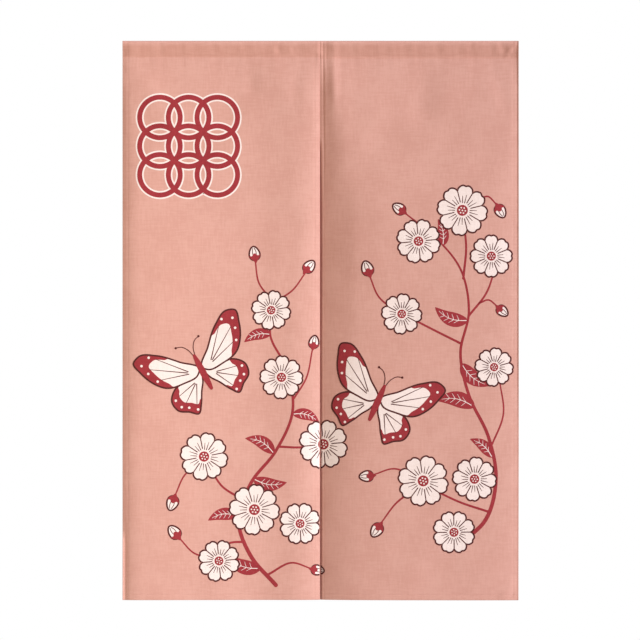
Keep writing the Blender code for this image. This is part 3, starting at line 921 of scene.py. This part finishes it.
def butterfly(middle, span, turn):
    """A butterfly from above. Each wing is a closed curve filled from its root: white, with a
    broad crimson margin that thins out towards the body and holds white spots, veins from the
    root, and a crimson body."""
    crimson, white, fine = [], [], []
    for mirror in (1.0, -1.0):
        for wing, margin, nearer in ((HIND_WING, 0.70, 0.0), (FORE_WING, 0.74, 0.12 * MM)):
            shape = np.array(wing) * (mirror, 1.0)
            outline = turned(curve_through(shape * span, True) / span, turn, middle, span)
            root = turned(np.array((0.10 * mirror, 0.02 if wing is FORE_WING else 0.11)), turn,
                          middle, span)
            white.append((fan(root, outline), WHITE_COAT + nearer))
            far = np.linalg.norm(outline - np.asarray(middle), axis=1)
            part = outline[far > 0.26 * span]
            along = np.linspace(0.0, 1.0, len(part))
            broad = ease(along, 0.0, 0.22) * ease(1 - along, 0.0, 0.22)
            crimson.append((fan(root, part, 1 - (1 - margin) * broad), CRIMSON_COAT + nearer))
            fine.append((ribbon(outline, OUTLINE, False), CRIMSON_COAT + 0.02 * MM + nearer))
            spots = np.interp((0.33, 0.46, 0.58, 0.71), along, np.arange(len(part))).astype(int)
            for spot in root + 0.865 * (part[spots] - root):
                white.append((disc(spot, 0.013 * span), TOP_COAT + 0.06 * MM + nearer))
            tips = np.interp((0.30, 0.50, 0.70), along, np.arange(len(part))).astype(int)
            for tip in root + (margin + 0.02) * (part[tips] - root):
                vein = root + np.linspace(0.12, 1.0, 9)[:, None] * (tip - root)
                fine.append((ribbon(vein, np.linspace(1.1, 0.6, 9) * MM),
                             CRIMSON_COAT + 0.04 * MM + nearer))
    trunk = np.stack((0 * np.linspace(0, 1, 12), np.linspace(-0.13, 0.24, 12)), -1)
    bulk = span * (0.010 + 0.024 * np.sin(np.pi * np.linspace(0.05, 0.93, 12)) ** 0.8)
    crimson.append((ribbon(turned(trunk, turn, middle, span), bulk), TOP_COAT + 0.1 * MM))
    for mirror in (1.0, -1.0):
        feeler = np.array(((0.008, -0.13), (0.03, -0.21), (0.08, -0.27), (0.13, -0.285)))
        path = curve_through(feeler * (mirror, 1.0) * span) / span
        fine.append((ribbon(turned(path, turn, middle, span), 0.9 * MM), TOP_COAT))
        tip = turned(path[-1], turn, middle, span)
        fine.append((disc(tip, 0.012 * span), TOP_COAT + 0.02 * MM))
    return crimson, white, fine


def gather(*motifs):
    """Joins motifs that are laid together, ink by ink."""
    return [sum(shapes, []) for shapes in zip(*motifs)]


lay_motif("linked_circles", *linked_circles((-0.283, 0.226), 43.5 * MM))

lay_motif("low_spray", *gather(
    stem(((-0.096, 1.168), (-0.150, 1.105), (-0.176, 1.030), (-0.150, 0.950), (-0.096, 0.880),
          (-0.060, 0.795), (-0.072, 0.705), (-0.108, 0.630), (-0.104, 0.575)), 9 * MM, 4 * MM),
    stem(((-0.163, 1.075), (-0.196, 1.078), (-0.226, 1.102)), 5 * MM, 4 * MM),
    stem(((-0.230, 1.110), (-0.270, 1.100), (-0.302, 1.068)), 4 * MM, 3 * MM),
    stem(((-0.166, 0.985), (-0.212, 0.955), (-0.238, 0.915)), 5 * MM, 4 * MM),
    stem(((-0.244, 0.900), (-0.290, 0.930), (-0.312, 0.975)), 4 * MM, 3 * MM),
    stem(((-0.087, 0.871), (-0.040, 0.872), (0.004, 0.862)), 5 * MM, 4 * MM),
    stem(((-0.060, 0.772), (-0.030, 0.722), (-0.018, 0.665)), 4 * MM, 3 * MM),
    stem(((-0.112, 1.145), (-0.060, 1.120), (-0.022, 1.132)), 5 * MM, 3 * MM),
    stem(((-0.100, 0.560), (-0.132, 0.520), (-0.140, 0.474)), 4 * MM, 3 * MM),
    stem(((-0.098, 0.560), (-0.060, 0.535), (-0.034, 0.500)), 4 * MM, 3 * MM),
    leaf((-0.144, 0.940), 72 * MM, np.radians(-6), 0.12),
    leaf((-0.100, 0.886), 70 * MM, np.radians(152), 0.14),
    leaf((-0.106, 0.630), 60 * MM, np.radians(-164), 0.14),
    leaf((-0.128, 1.132), 78 * MM, np.radians(158), -0.14),
    leaf((-0.060, 0.801), 60 * MM, np.radians(-18), -0.14),
    leaf((-0.176, 1.020), 66 * MM, np.radians(-172), 0.14),
    bloom((-0.250, 0.892), 52 * MM, 0.2),
    bloom((-0.218, 1.116), 45 * MM, 0.3),
    bloom((-0.142, 1.006), 55 * MM, 0.1, NEARER),
    bloom((0.006, 0.866), 53 * MM, 0.3),
    bloom((-0.084, 0.722), 47 * MM, 0.05),
    bloom((-0.044, 1.036), 45 * MM, 0.35),
    bloom((-0.106, 0.578), 43 * MM, 0.22),
    bud((-0.142, 0.456), 13 * MM, np.radians(-100)),
    bud((-0.024, 0.484), 13 * MM, np.radians(-50)),
    bud((-0.014, 0.646), 12 * MM, np.radians(-80)),
    bud((-0.314, 1.054), 14 * MM, np.radians(-130)),
    bud((-0.318, 0.992), 14 * MM, np.radians(110)),
    bud((-0.006, 1.136), 12 * MM, np.radians(10)),
))

lay_motif("high_spray", *gather(
    stem(((0.300, 1.078), (0.352, 1.030), (0.376, 0.940), (0.360, 0.850), (0.318, 0.760),
          (0.300, 0.670), (0.318, 0.580), (0.300, 0.490), (0.244, 0.420), (0.184, 0.372)),
         9 * MM, 3 * MM),
    stem(((0.318, 0.590), (0.356, 0.540), (0.378, 0.470)), 5 * MM, 3 * MM),
    stem(((0.306, 0.510), (0.312, 0.440), (0.306, 0.385)), 5 * MM, 4 * MM),
    stem(((0.302, 0.650), (0.246, 0.622), (0.180, 0.588)), 5 * MM, 4 * MM),
    stem(((0.160, 0.580), (0.124, 0.548), (0.106, 0.506)), 4 * MM, 3 * MM),
    stem(((0.366, 0.870), (0.392, 0.800), (0.384, 0.730)), 4 * MM, 3 * MM),
    stem(((0.360, 1.010), (0.300, 0.990), (0.240, 0.962)), 5 * MM, 4 * MM),
    stem(((0.214, 0.956), (0.164, 0.990), (0.130, 1.034)), 5 * MM, 3 * MM),
    stem(((0.206, 0.935), (0.156, 0.918), (0.116, 0.930)), 4 * MM, 3 * MM),
    stem(((0.335, 0.345), (0.358, 0.334), (0.377, 0.351)), 4 * MM, 3 * MM),
    stem(((0.340, 0.563), (0.360, 0.556), (0.378, 0.569)), 4 * MM, 3 * MM),
    leaf((0.316, 0.600), 76 * MM, np.radians(158), -0.14),
    leaf((0.302, 0.692), 78 * MM, np.radians(-38), 0.12),
    leaf((0.330, 0.786), 84 * MM, np.radians(170), 0.13),
    leaf((0.262, 0.440), 58 * MM, np.radians(100), 0.10),
    leaf((0.176, 0.980), 62 * MM, np.radians(70), 0.12),
    leaf((0.368, 0.894), 62 * MM, np.radians(140), 0.12),
    bloom((0.304, 0.364), 55 * MM, 0.15, NEARER),
    bloom((0.210, 0.430), 48 * MM, 0.3),
    bloom((0.366, 0.462), 46 * MM, 0.0),
    bloom((0.174, 0.586), 44 * MM, 0.1),
    bloom((0.220, 0.944), 55 * MM, 0.25),
    bloom((0.330, 0.940), 48 * MM, 0.1, NEARER),
    bloom((0.286, 1.054), 46 * MM, 0.38),
    bloom((0.372, 0.700), 42 * MM, 0.12),
    bud((0.168, 0.360), 13 * MM, np.radians(-145)),
    bud((0.100, 0.488), 14 * MM, np.radians(-110)),
    bud((0.390, 0.580), 12 * MM, np.radians(40)),
    bud((0.120, 1.050), 14 * MM, np.radians(125)),
    bud((0.098, 0.934), 13 * MM, np.radians(175)),
    bud((0.386, 0.366), 13 * MM, np.radians(60)),
))

lay_motif("left_butterfly", *butterfly((-0.258, 0.700), 212 * MM, np.radians(-28)))
lay_motif("right_butterfly", *butterfly((0.126, 0.766), 210 * MM, np.radians(24)))

# The studio
# Soft light from high on the right, a weaker fill from the left, and a pale floor well below
# the curtain's foot. The camera looks square at the curtain from far off, level with its middle.

PHOTO_WIDTH = 640
CURTAIN_PIXELS = 396.1
LENS = 400.0
SENSOR = 36.0
frame_width = PHOTO_WIDTH / CURTAIN_PIXELS * 2 * HALF_WIDTH
camera_data = bpy.data.cameras.new("camera")
camera_data.lens = LENS
camera_data.sensor_width = SENSOR
camera = bpy.data.objects.new("camera", camera_data)
camera.location = (-1.2 * MM, -frame_width * LENS / SENSOR, -FOOT / 2 + 1.0 * MM)
camera.rotation_euler = (np.pi / 2, 0.0, 0.0)
bpy.context.scene.collection.objects.link(camera)
bpy.context.scene.camera = camera


def add_light(name, kind, energy, colour, towards, **settings):
    """A light that shines from a place towards the curtain's middle."""
    data = bpy.data.lights.new(name, kind)
    data.energy = energy
    data.color = colour
    for key, value in settings.items():
        setattr(data, key, value)
    lamp = bpy.data.objects.new(name, data)
    middle = Vector((0.0, 0.0, -FOOT / 2))
    lamp.location = middle + Vector(towards)
    lamp.rotation_euler = Vector(towards).to_track_quat("Z", "Y").to_euler()
    bpy.context.scene.collection.objects.link(lamp)
    return lamp


add_light("key", "SUN", 4.42, (0.97, 1.0, 1.0), (3.85, -2.2, 2.3), angle=0.38)
add_light("fill", "AREA", 5.8, (1.0, 0.90, 0.60), (-0.8, -1.0, 0.0), shape="RECTANGLE",
          size=0.6, size_y=1.7)
add_light("rear", "AREA", 6.0, (0.97, 1.0, 1.0), (1.4, 2.8, 0.6), size=0.8, spread=0.75)

world = bpy.data.worlds.new("studio")
bpy.context.scene.world = world
world.use_nodes = True
sky = world.node_tree
seen = sky.nodes["Background"]
seen.inputs["Color"].default_value = (1.0, 1.0, 1.0, 1.0)
seen.inputs["Strength"].default_value = 1.0
soft = node(sky, "ShaderNodeBackground", Color=(1.0, 0.50, 0.32, 1.0), Strength=0.17)
choose = node(sky, "ShaderNodeMixShader", Fac=node(sky, "ShaderNodeLightPath").outputs[0],
              in1=soft.outputs[0], in2=seen.outputs[0])
sky.links.new(choose.outputs[0], sky.nodes["World Output"].inputs["Surface"])

FLOOR_DROP = 1.95
FLOOR_REACH = 8.0
floor_mesh = bpy.data.meshes.new("floor")
floor_mesh.from_pydata([(x * FLOOR_REACH, y * FLOOR_REACH, -FLOOR_DROP)
                        for x, y in ((-1, -1), (1, -1), (1, 1), (-1, 1))], [], [(0, 1, 2, 3)])
floor = bpy.data.objects.new("floor", floor_mesh)
bpy.context.scene.collection.objects.link(floor)
floor_finish = bpy.data.materials.new("pale_floor")
floor_finish.use_nodes = True
floor_shader = floor_finish.node_tree.nodes["Principled BSDF"]
floor_shader.inputs["Base Color"].default_value = (0.8, 0.79, 0.77, 1.0)
floor_shader.inputs["Roughness"].default_value = 0.8
floor_mesh.materials.append(floor_finish)

bpy.context.scene.view_settings.view_transform = "Standard"
